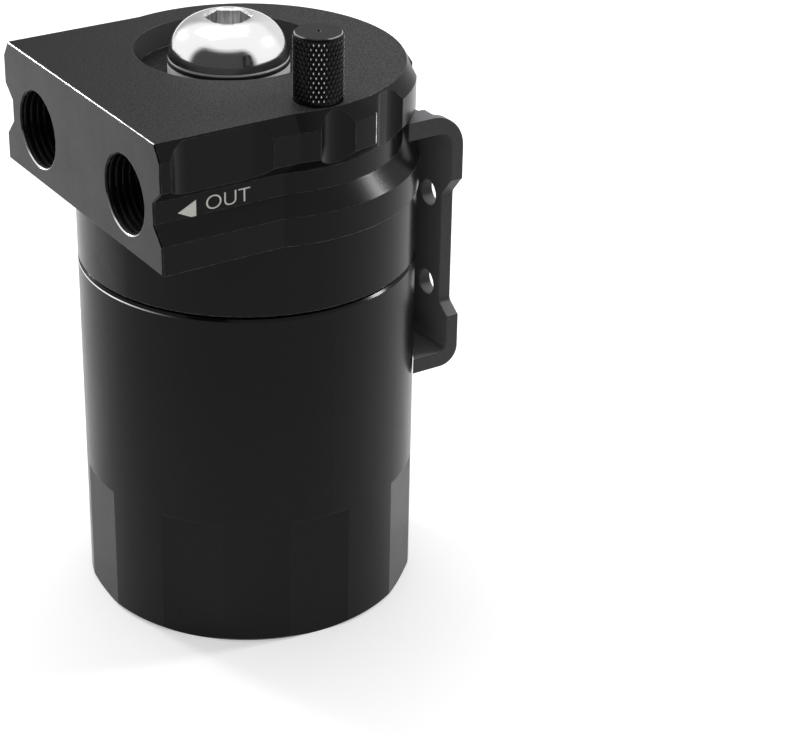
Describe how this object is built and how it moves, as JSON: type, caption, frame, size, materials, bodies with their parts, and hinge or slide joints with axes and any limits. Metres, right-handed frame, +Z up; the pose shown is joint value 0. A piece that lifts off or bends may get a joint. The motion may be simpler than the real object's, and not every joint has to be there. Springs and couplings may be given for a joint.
{
  "type": "oil catch can",
  "caption": "Round oil catch can with a grooved head with side-by-side threaded ports, a screw-on canister, a domed plug, a knurled dipstick and a wall bracket.",
  "frame": {"origin": "centre of the canister's flat foot, on the can's axis", "axes": "+Z up along the can's axis, -Y out of the two ports, +Y to the bracket's back face"},
  "size_m": [0.0688, 0.0734, 0.1269],
  "materials": {
    "black_anodised": "satin black anodised",
    "satin_black": "satin black coating",
    "polished_aluminium": "polished",
    "bare_aluminium": "bare, machined",
    "steel": "drawn steel",
    "black_rubber": "matte"
  },
  "bodies": {
    "head": {"head": "black_anodised", "inlet_tube": "bare_aluminium", "baffle_plate": "bare_aluminium", "baffle_ring": "steel", "bracket": "satin_black", "bracket_screws": "steel"},
    "canister_seal": {"canister_seal": "black_rubber"},
    "canister": {"canister": "black_anodised"},
    "dipstick_seal": {"dipstick_seal": "black_rubber"},
    "dipstick": {"dipstick_knob": "black_anodised", "dipstick_rod": "steel"},
    "plug_seals": {"plug_washer": "bare_aluminium", "plug_seal": "black_rubber"},
    "top_plug": {"top_plug": "polished_aluminium"}
  },
  "joints": [
    {"name": "canister_drop", "type": "slide", "parent": "head", "child": "canister_seal", "axis": [0, 0, -1], "range_m": [0, 0.012]},
    {"name": "canister_turn", "type": "hinge", "parent": "canister_seal", "child": "canister", "pos_m": [0, 0, 0.0731], "axis": [0, 0, -1], "range_deg": [0, 2160]},
    {"name": "dipstick_lift", "type": "slide", "parent": "head", "child": "dipstick_seal", "axis": [0, 0, 1], "range_m": [0, 0.009]},
    {"name": "dipstick_turn", "type": "hinge", "parent": "dipstick_seal", "child": "dipstick", "pos_m": [0.0264, 0.0006, 0.1096], "axis": [0, 0, 1], "range_deg": [0, 3240]},
    {"name": "plug_lift", "type": "slide", "parent": "head", "child": "plug_seals", "axis": [0, 0, 1], "range_m": [0, 0.012]},
    {"name": "plug_turn", "type": "hinge", "parent": "plug_seals", "child": "top_plug", "pos_m": [-0.0065, 0, 0.1086], "axis": [0, 0, 1], "range_deg": [0, 2880]}
  ],
  "couplings": [
    {"joint": "canister_turn", "follows": "canister_drop", "rad_per_m": 3141.6},
    {"joint": "dipstick_turn", "follows": "dipstick_lift", "rad_per_m": 6283.2},
    {"joint": "plug_turn", "follows": "plug_lift", "rad_per_m": 4188.8}
  ]
}
